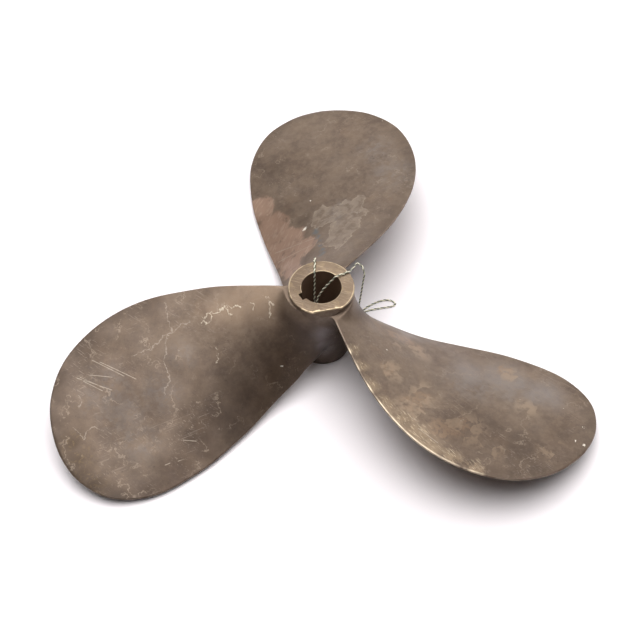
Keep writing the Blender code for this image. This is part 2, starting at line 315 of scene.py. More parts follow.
# The hub
# The middle of the casting: a barrel that widens to the shaft's end, turned flat on top, with
# the tapered bore and its keyway cut through and a flat worn on the front of the top rim.
HUB_TOP = 39.7 * MM
HUB_BOTTOM = FLOOR_HEIGHT
HUB_TOP_RADIUS = 25 * MM
HUB_BOTTOM_RADIUS = 20.8 * MM
BORE_TOP_RADIUS = 15.1 * MM
BORE_TAPER = 1 / 20
BORE_BOTTOM_RADIUS = BORE_TOP_RADIUS - (HUB_TOP - HUB_BOTTOM) * BORE_TAPER
KEYWAY_WIDTH = 6.5 * MM
KEYWAY_REACH = 18.1 * MM
KEYWAY_ANGLE = math.radians(209.4)
RIM_FLAT_ANGLE = math.radians(280)
RIM_FLAT_DISTANCE = 21.8 * MM
RIM_FLAT_SLOPE = math.radians(58)
RIM_FLAT_BLOCK = 30
FOOT_ROUND = 2.2 * MM
RIM_ROUND = 0.8 * MM
BORE_ROUND = 0.4 * MM
CUT_BEYOND = 2 * MM
HUB_SIDES = 160
BARREL_RINGS = 24


def apply_modifier(obj, kind, **settings):
    deselect()
    bpy.context.view_layer.objects.active = obj
    obj.select_set(True)
    modifier = obj.modifiers.new(kind.lower(), kind)
    for name, value in settings.items():
        setattr(modifier, name, value)
    bpy.ops.object.modifier_apply(modifier=modifier.name)


def combine(target, operation, tool):
    """Adds tool to target, or cuts it out, and takes the tool away."""
    apply_modifier(target, "BOOLEAN", operation=operation, solver="EXACT", object=tool)
    bpy.data.objects.remove(tool, do_unlink=True)


def hub_radius(height):
    share = (height - HUB_BOTTOM) / (HUB_TOP - HUB_BOTTOM)
    return HUB_BOTTOM_RADIUS + (HUB_TOP_RADIUS - HUB_BOTTOM_RADIUS) * share


def rounded_corner(corner, radius, first_turn, steps):
    """Points of a quarter round that replaces a square corner of the profile, inside it."""
    x, z = corner
    side = -1 if first_turn in (0, -math.pi / 2) else 1
    centre_z = z + radius if first_turn in (-math.pi / 2, math.pi) else z - radius
    angles = [first_turn + math.pi / 2 * n / steps for n in range(steps + 1)]
    return [(x + side * radius + radius * math.cos(a), centre_z + radius * math.sin(a)) for a in angles]


straight_side = HUB_TOP - HUB_BOTTOM - FOOT_ROUND - RIM_ROUND
barrel = rounded_corner((HUB_BOTTOM_RADIUS, HUB_BOTTOM), FOOT_ROUND, -math.pi / 2, 8)
for step in range(1, BARREL_RINGS):
    height = HUB_BOTTOM + FOOT_ROUND + straight_side * step / BARREL_RINGS
    barrel.append((hub_radius(height), height))
barrel += rounded_corner((HUB_TOP_RADIUS, HUB_TOP), RIM_ROUND, 0, 5)
barrel += rounded_corner((BORE_TOP_RADIUS, HUB_TOP), BORE_ROUND, math.pi / 2, 3)
barrel += rounded_corner((BORE_BOTTOM_RADIUS, HUB_BOTTOM), BORE_ROUND, math.pi, 3)
casting_points, casting_faces = [], []
for n in range(HUB_SIDES):
    angle = 2 * math.pi * n / HUB_SIDES
    casting_points += [(r * math.cos(angle), r * math.sin(angle), z) for r, z in barrel]
for n in range(HUB_SIDES):
    here, there = n * len(barrel), (n + 1) % HUB_SIDES * len(barrel)
    for k in range(len(barrel)):
        after = (k + 1) % len(barrel)
        casting_faces.append((here + k, there + k, there + after, here + after))
casting = link_mesh("bronze_casting", casting_points, casting_faces, [])

deselect()
bpy.ops.mesh.primitive_cube_add(size=1, location=(KEYWAY_REACH / 2, 0, (HUB_TOP + HUB_BOTTOM) / 2))
keyway = bpy.context.object
keyway.scale = (KEYWAY_REACH, KEYWAY_WIDTH, HUB_TOP - HUB_BOTTOM + 2 * CUT_BEYOND)
bpy.ops.object.transform_apply(location=True, rotation=True, scale=True)
for corner in keyway.data.vertices:
    if corner.co.x > KEYWAY_REACH / 2:
        corner.co.x += (corner.co.z - HUB_TOP) * BORE_TAPER
keyway.data.transform(Matrix.Rotation(KEYWAY_ANGLE, 4, "Z"))
combine(casting, "DIFFERENCE", keyway)

deselect()
bpy.ops.mesh.primitive_cube_add(size=RIM_FLAT_BLOCK * MM)
rim_flat = bpy.context.object
rim_outward = Vector((math.cos(RIM_FLAT_ANGLE), math.sin(RIM_FLAT_ANGLE), 0))
rim_facing = rim_outward * math.sin(RIM_FLAT_SLOPE) + Vector((0, 0, math.cos(RIM_FLAT_SLOPE)))
rim_edge = rim_outward * RIM_FLAT_DISTANCE + Vector((0, 0, HUB_TOP))
rim_flat.data.transform(rim_facing.to_track_quat("Z", "Y").to_matrix().to_4x4())
rim_flat.data.transform(Matrix.Translation(rim_edge + rim_facing * (RIM_FLAT_BLOCK / 2) * MM))
combine(casting, "DIFFERENCE", rim_flat)

# The blades
# Three broad blades cast in one with the hub and ground smooth: a left-handed screw surface with
# a flat driving face below and a domed back above, thin round edges, and wide root fillets.
BLADES = 3
FIRST_BLADE_ANGLE = math.radians(76.5)
TIP_RADIUS = 225 * MM
REFERENCE_RADIUS = 140 * MM
PITCH = 304 * MM
PITCH_RISE = 0.32
PITCH_EASE_RADIUS = 92 * MM
PITCH_EASE = 0.0243 / MM
REFERENCE_HEIGHT = 1 * MM
RAKE = math.tan(math.radians(3.2))
ROOT_LIFT_RADIUS = 115 * MM
ROOT_LIFT = 0.00195 / MM
# Outlines from the root to the tip, as (radius, arc round the axis from the reference line) in mm.
HIGH_EDGE = (
    (18.5, -9), (46, -22), (92, -40), (138, -47.3), (170, -40.6), (198, -21.9), (215, 4.4), (222.5, 30),
)
LOW_EDGE = (
    (18.5, 16), (30, 31), (46, 40.6), (70, 51.4), (110, 72.7), (150, 90.9), (190, 99.6), (212, 92),
    (222.5, 73.4),
)
TIP = (225, 53)
EDGE_THICKNESS = 1.8 * MM
AXIS_THICKNESS = 12.5 * MM
TIP_THICKNESS = 3 * MM
FACE_SHARE = 0.4
SWELL_CHORD = 50 * MM
ROOT_END_RADIUS = 62 * MM
ROOT_START_RADIUS = 30 * MM
ROOT_DEPTHS = (3 * MM, 2 * MM)
BACK_FILLET = 16 * MM
FACE_FILLET = 8 * MM
HIGH_EDGE_FILLET = 4.5 * MM
LOW_EDGE_FILLET = 20 * MM
FILLET_SINK = 0.02
FILLET_STEPS = 12
ROOT_ROWS = 16
SPAN_ROWS = 64
CHORD_COLUMNS = 44
EDGE_STEPS = 6
OUTLINE_POINTS = 4001
TIP_CROWDING = 1.15
COLLAR = 5 * MM
FOOT_COLLAR = 1.5 * MM
MERGE_DISTANCE = 0.01 * MM
SHARP_ANGLE = math.radians(35)


def screw_surface(radius, arc):
    """Points of the blade's screw surface, with the blade's reference line along +X."""
    pitch = PITCH + PITCH_RISE * (radius - REFERENCE_RADIUS)
    pitch = pitch - PITCH_EASE * np.maximum(0, PITCH_EASE_RADIUS - radius) ** 2
    height = REFERENCE_HEIGHT - RAKE * (radius - REFERENCE_RADIUS)
    height = height + ROOT_LIFT * np.maximum(0, ROOT_LIFT_RADIUS - radius) ** 2
    height = height - pitch / (2 * math.pi * radius) * arc
    return np.stack([radius * np.cos(arc / radius), radius * np.sin(arc / radius), height], axis=-1)


def unit(vectors):
    return vectors / np.linalg.norm(vectors, axis=-1, keepdims=True)


def surface_slopes(radius, arc):
    """How the screw surface moves for a step in radius and for a step in arc."""
    step = 0.2 * MM
    outward = (screw_surface(radius + step, arc) - screw_surface(radius - step, arc)) / (2 * step)
    around = (screw_surface(radius, arc + step) - screw_surface(radius, arc - step)) / (2 * step)
    return outward, around


outline = smooth_path([*HIGH_EDGE, TIP, *reversed(LOW_EDGE)], OUTLINE_POINTS) * MM
outline_step = np.gradient(outline, axis=0)
outward, around = surface_slopes(outline[:, 0], outline[:, 1])
rim_metric = np.stack([
    np.stack([(outward * outward).sum(1), (outward * around).sum(1)], 1),
    np.stack([(outward * around).sum(1), (around * around).sum(1)], 1),
], 1)
rim_run = np.einsum("nij,nj->ni", rim_metric, outline_step)
rim_normal = np.stack([rim_run[:, 1], -rim_run[:, 0]], 1)
rim_normal /= np.sqrt(np.einsum("ni,nij,nj->n", rim_normal, rim_metric, rim_normal))[:, None]
tip_index = int(outline[:, 0].argmax())
if rim_normal[tip_index, 0] < 0:
    rim_normal = -rim_normal
inner = outline - rim_normal * EDGE_THICKNESS / 2
inner_out = unit(outward * rim_normal[:, :1] + around * rim_normal[:, 1:])


def edge_at(side, key, values, wanted):
    """Values along one edge's inner line, looked up by a rising key."""
    keys, rows = key[side], values[side]
    order = np.argsort(keys)
    return np.stack([np.interp(wanted, keys[order], column) for column in rows[order].T], axis=-1)


high_side = np.arange(0, tip_index + 1)
low_side = np.arange(len(outline) - 1, tip_index - 1, -1)
across = -np.cos(math.pi * np.arange(CHORD_COLUMNS + 1) / CHORD_COLUMNS)
share = (1 + across) / 2
dome = 1 - across**2
edge_fillet = HIGH_EDGE_FILLET + (LOW_EDGE_FILLET - HIGH_EDGE_FILLET) * share
back_fillet = edge_fillet + (BACK_FILLET - edge_fillet) * dome
face_fillet = edge_fillet + (FACE_FILLET - edge_fillet) * dome
round_angles = np.linspace(math.pi / 2, -math.pi / 2, EDGE_STEPS + 1)[1:-1]
COLUMNS = CHORD_COLUMNS + 1
LOOP = 2 * COLUMNS + 2 * len(round_angles)


def row_arcs(radius):
    high = edge_at(high_side, inner[:, 0], inner[:, 1:], radius)[:, 0]
    low = edge_at(low_side, inner[:, 0], inner[:, 1:], radius)[:, 0]
    return high + (low - high) * share


def lay_off(radius, arc, direction, amount, rim_gap, straight):
    """Moves points by amount along direction: straight, or round the shaft axis keeping their
    distance from the hub's side."""
    start = screw_surface(radius, arc)
    direct = start + direction * amount[:, None]
    turned = np.arctan2(start[:, 1], start[:, 0])
    tangent = np.stack([-np.sin(turned), np.cos(turned), np.zeros_like(turned)], 1)
    flat = np.stack([(direction * tangent).sum(1), direction[:, 2]], 1)
    flat /= np.linalg.norm(flat, axis=1)[:, None]
    turned = turned + amount * flat[:, 0] / radius
    height = start[:, 2] + amount * flat[:, 1]
    if rim_gap is not None:
        height = np.minimum(height, HUB_TOP - COLLAR)
        height = np.maximum(height, HUB_BOTTOM + FOOT_COLLAR)
        radius = hub_radius(height) + rim_gap
    wrapped = np.stack([radius * np.cos(turned), radius * np.sin(turned), height], 1)
    return wrapped + (direct - wrapped) * straight


def section_lift(radius, chord, sign):
    """Half the edge's thickness plus the back's or the face's share of the swell, which fades
    where the blade is narrow."""
    thickest = AXIS_THICKNESS + (TIP_THICKNESS - AXIS_THICKNESS) * radius / TIP_RADIUS
    share_here = 1 - FACE_SHARE if sign > 0 else FACE_SHARE
    fade = np.clip(chord / SWELL_CHORD, 0, 1)
    return EDGE_THICKNESS / 2 + share_here * (thickest - EDGE_THICKNESS) * dome * fade


def blade_row(radii, arcs, gaps, fillets, straight, edge_normals):
    """Points of one closed loop: back from high to low edge, low edge, face back, high edge."""
    gaps = gaps or (None, None)
    points = []
    for side, sign in ((0, 1), (1, -1)):
        radius, arc = radii[side], arcs[side]
        outward, around = surface_slopes(radius, arc)
        normal = unit(np.cross(outward, around)) * sign
        ends = screw_surface(radius[[0, -1]], arc[[0, -1]])
        chord = np.linalg.norm(ends[1] - ends[0])
        amount = section_lift(radius, chord, sign) + fillets[side]
        points.append(lay_off(radius, arc, normal, amount, gaps[side], straight))
        edge = -1 if sign > 0 else 0
        direction = edge_normals[1 if sign > 0 else 0]
        up = normal[edge] * sign
        edge_gaps = None if gaps[side] is None else gaps[side][[edge]]
        edge_amount = np.array([EDGE_THICKNESS / 2 + fillets[side][edge]])
        for angle in round_angles * sign:
            way = direction * math.cos(angle) + up * math.sin(angle)
            points.append(lay_off(radius[[edge]], arc[[edge]], way[None], edge_amount, edge_gaps, straight))
    face_at = 1 + len(round_angles)
    back, low_ring, face, high_ring = points[0], points[1:face_at], points[face_at], points[face_at + 1 :]
    return np.vstack([back, *low_ring, face[::-1], *high_ring])


def root_row(slope, gap_share, depth=0, spread=1):
    """A row that follows the hub's side. slope is the angle round the fillet, from pi/2 on the
    hub's side to 0 where the fillet ends. gap_share is how far the row is from there to the root's
    end, depth how deep it is sunk in the hub, and spread how much of the fillet's width it has."""
    radii, arcs, gaps, offsets = [], [], [], []
    for fillet in (back_fillet, face_fillet):
        gap = fillet * (1 - math.sin(slope) - FILLET_SINK) - depth
        offset = fillet * (1 - math.cos(slope)) * spread
        gap = gap + (ROOT_END_RADIUS - hub_radius(0) - gap) * gap_share
        radius = np.full(COLUMNS, ROOT_START_RADIUS)
        # A few steps find the radius at which the row meets the hub's side.
        for _ in range(10):
            height = screw_surface(radius, row_arcs(radius))[:, 2]
            level = hub_radius(np.clip(height, HUB_BOTTOM, HUB_TOP))
            target = (level + gap) * (1 - gap_share) + ROOT_END_RADIUS * gap_share
            radius = radius + (target - radius) * 0.7
        radii.append(radius)
        arcs.append(row_arcs(radius))
        gaps.append(radius - level)
        offsets.append(offset)
    normals = []
    for side, edge in ((high_side, 0), (low_side, -1)):
        normals.append(unit(edge_at(side, inner[:, 0], inner_out, radii[0][[edge]])[0]))
    return blade_row(radii, arcs, gaps, offsets, gap_share, normals)


def span_row(fraction):
    """A row between the same fraction of both edges, from the root's end to the tip."""
    ends, normals = [], []
    for side in (high_side, low_side):
        rows = inner[side]
        begin = int(np.searchsorted(rows[:, 0], ROOT_END_RADIUS))
        run = np.linspace(begin, len(rows) - 1, len(outline) - 1)
        number = np.arange(len(rows))
        line = np.stack([np.interp(run, number, column) for column in rows.T], 1)
        way = np.stack([np.interp(run, number, column) for column in inner_out[side].T], 1)
        line[0, 0] = ROOT_END_RADIUS
        at = fraction * (len(run) - 1)
        number = np.arange(len(run))
        ends.append([np.interp(at, number, column) for column in line.T])
        normals.append(unit(np.array([np.interp(at, number, column) for column in way.T])))
    (high_radius, high_arc), (low_radius, low_arc) = ends
    radius = high_radius + (low_radius - high_radius) * share
    arc = high_arc + (low_arc - high_arc) * share
    none = np.zeros(COLUMNS)
    return blade_row([radius, radius], [arc, arc], None, [none, none], 1.0, normals)


rows = [root_row(math.pi / 2, 0, ROOT_DEPTHS[0], 0), root_row(math.pi / 2, 0, ROOT_DEPTHS[1])]
for n in range(FILLET_STEPS + 1):
    rows.append(root_row(math.pi / 2 * (1 - n / FILLET_STEPS), 0))
for n in range(1, ROOT_ROWS + 1):
    rows.append(root_row(0, n / (ROOT_ROWS + 1)))
for n in range(SPAN_ROWS + 1):
    rows.append(span_row(math.sin(n / SPAN_ROWS * math.pi / 2) ** TIP_CROWDING))
blade_points = np.vstack(rows)
blade_faces = []
for n in range(len(rows) - 1):
    for k in range(LOOP):
        a, b = n * LOOP + k, n * LOOP + (k + 1) % LOOP
        blade_faces.append((a, b, b + LOOP, a + LOOP))
half = len(round_angles)
for k in range(CHORD_COLUMNS):
    face_k = COLUMNS + half + (COLUMNS - 1 - k)
    blade_faces.append((k + 1, k, face_k, face_k - 1))
low_cap = [COLUMNS - 1, *range(COLUMNS, COLUMNS + half + 1)]
blade_faces.append(tuple(reversed(low_cap)))
high_cap = [COLUMNS + half + COLUMNS - 1, *range(2 * COLUMNS + half, LOOP), 0]
blade_faces.append(tuple(reversed(high_cap)))
blade = link_mesh("blade", blade_points, blade_faces, [])
deselect()
bpy.context.view_layer.objects.active = blade
blade.select_set(True)
bpy.ops.object.mode_set(mode="EDIT")
bpy.ops.mesh.select_all(action="SELECT")
bpy.ops.mesh.remove_doubles(threshold=MERGE_DISTANCE)
bpy.ops.mesh.normals_make_consistent(inside=False)
bpy.ops.object.mode_set(mode="OBJECT")
for number in range(BLADES):
    copy = blade.copy()
    copy.data = blade.data.copy()
    bpy.context.scene.collection.objects.link(copy)
    copy.data.transform(Matrix.Rotation(FIRST_BLADE_ANGLE + 2 * math.pi * number / BLADES, 4, "Z"))
    combine(casting, "UNION", copy)
bpy.data.objects.remove(blade, do_unlink=True)
deselect()
bpy.context.view_layer.objects.active = casting
casting.select_set(True)
bpy.ops.object.shade_smooth_by_angle(angle=SHARP_ANGLE)

# The bronze
# Propeller bronze, cast in sand, ground smooth and long in use: a dull brown-grey skin, half metal
# and half tarnish, with stains and scratches and cleaner metal where it was rubbed. Painted into it
# are shade at the roots, tips and hub's side, reflections on the hub's front and the right blade,
# and highlights along the right blade's front edge.
PATINA_DARK = "615145"
# Tarnish colour; multiplied in, it also lays painted shade at the roots, tips, outer edges and the hub's
# ring.
TARNISH_AND_SHADE = "ACA199"
# Every coat on it, from the first to the last, as its colour and how strongly it covers.
PATINA_LIGHT = ("6A5B4F", 1)
MOTTLE = ("85725F", 0.3)
DARK_CLOUD = ("4A3D34", 0.13)
GREY_SKIN_AND_REFLECTION = ("726964", 0.75)
ROOT_LIGHT = ("8C7763", 0.7)
SKY_REFLECTION_COAT = ("867E7A", 0.6)
OCHRE_CLOUD = ("86705C", 0.25)
FINE_MOTTLE = ("8B7B6B", 0.26)
FINE_DARK = ("3F342D", 0.4)
COPPERY = ("9B7F6D", 0.8)
COPPERY_FAN = ("A89282", 0.48)
PALE_FILM = ("9A8C7D", 0.5)
FILM_BORDER = ("A09281", 2)
OCHRE_STAIN = ("86705C", 0.8)
ANGULAR_PATCH = ("96836F", 0.6)
RUST_STAIN = ("4C3A26", 0.7)
RUST_FRINGE = ("84704F", 0.45)
BLUE_STREAK = ("5E666A", 0.7)
ROOT_SHADE_COAT = (TARNISH_AND_SHADE, 0.95)
EDGE_SHADE_COAT = (TARNISH_AND_SHADE, 0.5)
TIP_SHADE_COAT = (TARNISH_AND_SHADE, 0.5)
RIM_TARNISH = (TARNISH_AND_SHADE, 0.4)
HUB_SIDE_SHADE_COAT = ("A69C96", 1)
HUB_REFLECTION_COAT = ("7A7272", 0.6)
CLEAN_METAL = ("756350", 0.85)
YELLOW_METAL = ("8F7C5F", 0.55)
BROWN_METAL = ("5E5044", 0.5)
RING_SCRATCH = ("A2917B", 0.5)
RING_SHADE_COAT = (TARNISH_AND_SHADE, 0.42)
BRIGHT_RIM = ("C9B698", 0.85)
BORE_METAL = ("7A6250", 1)
WORN_EDGE = ("94867A", 0.5)
RUBBED_METAL_AND_HIGHLIGHT = ("A39079", 0.5)
BRIGHT_EDGE_AND_HIGHLIGHT = ("CDBFA8", 0.8)
FINE_SCRATCH = ("94867A", 0.35)
EDGE_SCRATCH = ("BCAC93", 0.65)
SCRATCH = ("A89C8D", 0.65)
WANDERING_LINE = ("9A8E82", 0.5)
DRIED_LIME = ("C0B4A2", 0.8)
HAIR_LINE = ("978879", 0.42)
SPECK = ("B9AC9C", 0.7)
FLECK = ("E2DACD", 1)
METAL_SHARES = (0.5, 0.85)
DULL_ROUGHNESS = (0.4, 0.54)
BARE_ROUGHNESS = 0.3
SCRATCH_WIDTH = 0.42 * MM
LINE_WIDTH = 0.65 * MM
SPECKS_PER_MM = 0.075
WAVES_PER_MM = 0.042
WAVE_HEIGHT = 0.7 * MM
# Real pits are some tenths of a millimetre wide, too fine to show, and are drawn coarser.
PITS_PER_MM = 0.7
PIT_DEPTH = 0.1 * MM
MARK_HEIGHT = 0.15 * MM
# Places on the casting in millimetres, each with the radius it reaches.
# Grey patina patches; those on the right blade's high side and the hub's front are painted reflections.
GREY_AND_REFLECTION_PLACES = (
    (-165, -60, -2, 34), (-150, -80, -8, 30), (-122, -62, -4, 26), (-138, -98, -14, 26),
    (-105, -35, 8, 16), (110, -56, -8, 34), (138, -56, -15, 32), (160, -62, -17, 22),
    (15, 100, 5, 18), (60, 135, 20, 30), (45, 165, 12, 26), (3, -24, 8, 13),
)
# Painted shade along the left blade's low front side, from the root to the tip.
ROOT_SHADE_PLACES = (
    (-26, -36, 0, 42), (-40, -44, -4, 46), (-56, -60, -12, 46), (-74, -80, -19, 42),
    (-92, -100, -24, 38), (-110, -118, -27, 34), (-130, -136, -28, 30), (-148, -150, -28, 28),
)
# Painted shade at the outer parts of the blades.
EDGE_SHADE_PLACES = (
    (-190, -20, 8, 44), (-204, -52, 0, 30), (-206, -84, -6, 26), (-176, 6, 16, 36),
    (-168, -152, -27, 30), (-34, 168, -20, 34), (-28, 118, -17, 22), (-14, 102, -10, 14),
    (150, -118, -4, 40), (176, -104, -12, 30),
)
# Painted shade over the left blade's outer half and the right blade's low side.
TIP_SHADE_PLACES = (
    (-178, -56, -2, 78), (-128, -66, -5, 58), (-172, -112, -18, 56), (-148, -4, 14, 56),
    (-88, -66, -10, 50), (124, -136, 2, 50), (110, -106, 6, 38),
)
# Painted reflection of the pale sky on the right blade's high side.
SKY_REFLECTION_PLACES = ((112, -44, -8, 28), (138, -48, -17, 34), (164, -62, -19, 28))
# Painted reflection: a lighter grey strip down the front of the hub.
HUB_REFLECTION_PLACES = ((1, -24, 12, 15), (2, -23, 0, 14), (1, -22, -12, 12))
ANGULAR_PLACES = (
    (64, -96, 15, 24), (84, -108, 12, 26), (104, -108, 6, 22), (74, -78, 11, 18), (60, -28, 2, 17),
    (72, -32, -4, 15), (142, -44, -19, 14), (50, -62, 17, 16), (120, -124, 4, 18),
    (165, -120, -6, 16), (150, -80, -12, 14),
)
ROOT_LIGHT_PLACES = ((-44, -2, 29, 34), (-66, -6, 23, 26))
COPPERY_PLACES = (
    (-47, 130, -25, 14), (-37, 108, -22, 17), (-42, 97, -25, 14), (-24, 88, -15, 16),
    (-33, 78, -20, 14), (-12, 72, -4, 13), (-24, 62, -12, 14), (-18, 46, -6, 10),
)
PALE_PLACES = (
    (6, 100, 1, 14), (22, 99, 7, 15), (20, 82, 12, 15), (30, 90, 13, 9), (14, 66, 14, 12),
)
OCHRE_PLACES = (
    (84, -112, 12, 13), (94, -110, 8, 11), (101, -104, 6, 8), (55, -19, 1, 9), (64, -22, -3, 11),
    (70, -25, -5, 8), (138, -39, -20, 9), (64, -90, 14, 12), (72, -84, 12, 9), (46, -62, 18, 9),
    (38, -48, 18, 7), (70, 60, 30, 10),
)
RUST_PLACES = (
    (-184, -111, -15, 20), (-178, -124, -18, 20), (-171, -134, -21, 18), (-190, -98, -12, 14),
)
BLUE_PLACES = (
    (-3, 86, -1, 5), (-2, 79, 2, 4.5), (-1, 72, 5, 4), (0, 65, 8, 4), (1, 58, 11, 4), (1, 52, 13, 4),
)
# Rubbed metal along the right blade's front edge, with a painted highlight on it.
RUBBED_HIGHLIGHT_PLACES = (
    (23, -52, 30, 7), (29, -64, 28, 7), (35, -80, 25, 9), (44, -96, 22, 12), (54, -110, 20, 15),
    (65, -121, 18, 17), (76, -128, 16, 18), (68, -116, 17, 14), (90, -136, 13, 13),
    (107, -143, 9, 10), (60, -104, 18, 9),
)
FLECKS = (
    (-11.5, 94.9, -7.5, 1.7), (-12.1, 93.4, -8, 1.5), (184.2, -109.5, -12.8, 1.1),
    (190.6, -112.8, -13.6, 1.3), (178.7, -76.6, -18, 0.7), (47.7, -42.6, 15.7, 1),
    (191.9, -94.7, -17, 0.9), (-31.3, -40.6, -4.1, 1), (-6.5, 123, -7.7, 1),
)
# Painted shade on the left of the hub's top ring.
RING_SHADE_PLACES = ((-24, 4, 39.7, 30),)
# Lines on the casting, each through points in millimetres.
WANDERING_LINES = (
    ((-119.6, 4.4, 19.3), (-118.1, -7.2, 15.9), (-114.4, -15, 13.5), (-118.2, -27.4, 9), (-118.7, -36.9, 5.5),
     (-118.4, -47.1, 1.7), (-115.4, -53.6, -0.9), (-120, -63.1, -4.1)),
    ((-100.7, -10.7, 15.9), (-115.1, -17.9, 12.4), (-126.5, -26.4, 9.3), (-143.9, -35.5, 6)),
    ((-1.1, 95.1, -1.8), (4.5, 96.9, 0.7), (10.9, 97.3, 3.6), (14.9, 99.1, 5), (24.4, 96.2, 9.4),
     (31.3, 92, 13.1)),
    ((-187.5, -88.3, -8.6), (-179.2, -96, -10.8), (-173.4, -87.7, -8.8), (-164, -90, -10)),
    ((-182.7, -63.9, -2.4), (-181.9, -68.6, -3.6), (-183.3, -72.4, -4.6)),
)
LIME_TRACES = (
    ((-90.8, -12.3, 16.3), (-87.7, -7.6, 18.8), (-83, -5.2, 20.4), (-80, -7.7, 19.8), (-76.2, -5.3, 21.5),
     (-72.3, -3, 23.2), (-68.5, -4.1, 23.4), (-65.5, -2.4, 24.7), (-60.2, -4.5, 24.7)),
    ((-90.8, -12.3, 16.3), (-87, -13.3, 16.3), (-83.9, -11.5, 17.5), (-84.6, -7.2, 19.3)),
    ((-43.3, 0.6, 30.9), (-39.1, -3.8, 29.1), (-38.3, -8.3, 26.4), (-40.2, -13.5, 23.2)),
    ((-39.1, -3.8, 29.1), (-36.5, -6.5, 27.8)),
    ((-52, -1.5, 27.6), (-49.5, -5, 26.8), (-51, -8.5, 24.8)),
    ((-72.4, -4.4, 22.6), (-67.9, -10.4, 20.4)),
    ((-80, -30, 8), (-79, -36, 4), (-82, -41, 1)),
)
SCRATCHES = (
    ((-185.2, -49.9, 1.2), (-158.8, -60, -1.3)), ((-182.9, -49.3, 1.4), (-164.8, -58.4, -0.8)),
    ((-168, -38.3, 4.7), (-140.8, -52.1, 0.8)), ((-174.1, -36.5, 5), (-149.8, -49.7, 1.7)),
    ((-175.4, -48, 1.9), (-158.8, -50.2, 1.5)), ((-180.5, -52.5, 0.6), (-166, -60.4, -1.2)),
    ((-119.5, -114.5, -22.1), (-115.9, -112.8, -22.2)), ((-110, -111, -22.6), (-105.6, -109.2, -22.9)),
    ((-106.2, -95.5, -18), (-96.6, -95.5, -20)), ((-36, 82.6, -22.9), (-3.8, 78.2, 0.4)),
    ((-33.7, 72.3, -21.4), (-6.3, 71, 0.8)), ((12.9, 48.7, 21.9), (25, 64.4, 20.3)),
    ((67.3, -113.5, 16.7), (81.3, -125, 13.8)), ((63.3, -104.9, 17.1), (66.2, -106.3, 16.4)),
)

bronze = bpy.data.materials.new("aged_cast_bronze")
bronze.use_nodes = True
tree = bronze.node_tree
shader = tree.nodes["Principled BSDF"]


def fade(value, gone, full):
    """A soft step: 0 at gone and 1 at full."""
    return node(
        tree, "MapRange", {"Value": value, "From Min": gone, "From Max": full},
        interpolation_type="SMOOTHSTEP",
    ).outputs["Result"]


def overlap(*masks):
    """Where all masks lie, as their product. A number among them weakens it."""
    total = masks[0]
    for mask in masks[1:]:
        total = node(tree, "Math", {0: total, 1: mask}, operation="MULTIPLY").outputs["Value"]
    return total


def either(*masks):
    """Where any mask lies, as the strongest of them."""
    total = masks[0]
    for mask in masks[1:]:
        total = node(tree, "Math", {0: total, 1: mask}, operation="MAXIMUM").outputs["Value"]
    return total


def coat(under, finish, *masks, blend="MIX"):
    """The colour under, covered by a coat of colour where all masks lie."""
    color, strength = finish
    return node(
        tree, "Mix", {"Factor": overlap(*masks, strength), "A": under, "B": linear(color)},
        data_type="RGBA", blend_type=blend,
    ).outputs["Result"]


def spot_mask(place, spots, core=0.25):
    """Soft round spots: full inside the core share of each radius and gone at the radius."""
    masks = []
    for x, y, z, radius in spots:
        away = node(tree, "VectorMath", {0: place, 1: Vector((x, y, z)) * MM}, operation="DISTANCE")
        masks.append(fade(away.outputs["Value"], radius * MM, radius * core * MM))
    return either(*masks)


def line_mask(place, lines, width):
    """Thin lines through points on the surface: full on the line and gone at the width. Heights
    count for a quarter, so that a place that was moved about sideways still meets its line."""
    level = Vector((1, 1, 0.25))
    place = node(tree, "VectorMath", {0: place, 1: level}, operation="MULTIPLY").outputs["Vector"]
    nearest = width
    for line in lines:
        for start, end in zip(line, line[1:]):
            start, run = Vector(start) * level * MM, (Vector(end) - Vector(start)) * level * MM
            gap = node(tree, "VectorMath", {0: place, 1: start}, operation="SUBTRACT").outputs["Vector"]
            share = node(tree, "VectorMath", {0: gap, 1: run / run.length_squared}, operation="DOT_PRODUCT")
            share = node(tree, "Clamp", {"Value": share.outputs["Value"]}).outputs["Result"]
            reached = node(tree, "VectorMath", {0: run, "Scale": share}, operation="SCALE").outputs["Vector"]
            away = node(tree, "VectorMath", {0: gap, 1: reached}, operation="DISTANCE").outputs["Value"]
            nearest = node(tree, "Math", {0: nearest, 1: away}, operation="MINIMUM").outputs["Value"]
    return fade(nearest, width, width * 0.2)


def clouds(place, size, low, high, detail=4, roughness=0.55):
    """Irregular clouds of about this size: 0 where the noise is under low and 1 over high."""
    noise = node(
        tree, "TexNoise", {"Vector": place, "Scale": 1 / size, "Detail": detail, "Roughness": roughness},
    )
    return fade(noise.outputs["Fac"], low, high)


def streaks(place, degrees, length, width, low, high):
    """Fine straight scratches along one direction of the floor plane."""
    turned = (0, 0, math.radians(degrees))
    laid = node(
        tree, "Mapping", {"Vector": place, "Rotation": turned, "Scale": (length, width, width)},
        vector_type="TEXTURE",
    )
    return clouds(laid.outputs["Vector"], 1, low, high, detail=2)


def wobbled(place, size, reach):
    """The place, moved about by up to reach, so that borders and lines run unevenly."""
    noise = node(tree, "TexNoise", {"Vector": place, "Scale": 1 / size, "Detail": 3, "Roughness": 0.6})
    off = node(tree, "VectorMath", {0: noise.outputs["Color"], 1: (0.5, 0.5, 0.5)}, operation="SUBTRACT")
    off = node(tree, "VectorMath", {0: off.outputs["Vector"], "Scale": reach * 4}, operation="SCALE")
    return node(tree, "VectorMath", {0: place, 1: off.outputs["Vector"]}, operation="ADD").outputs["Vector"]


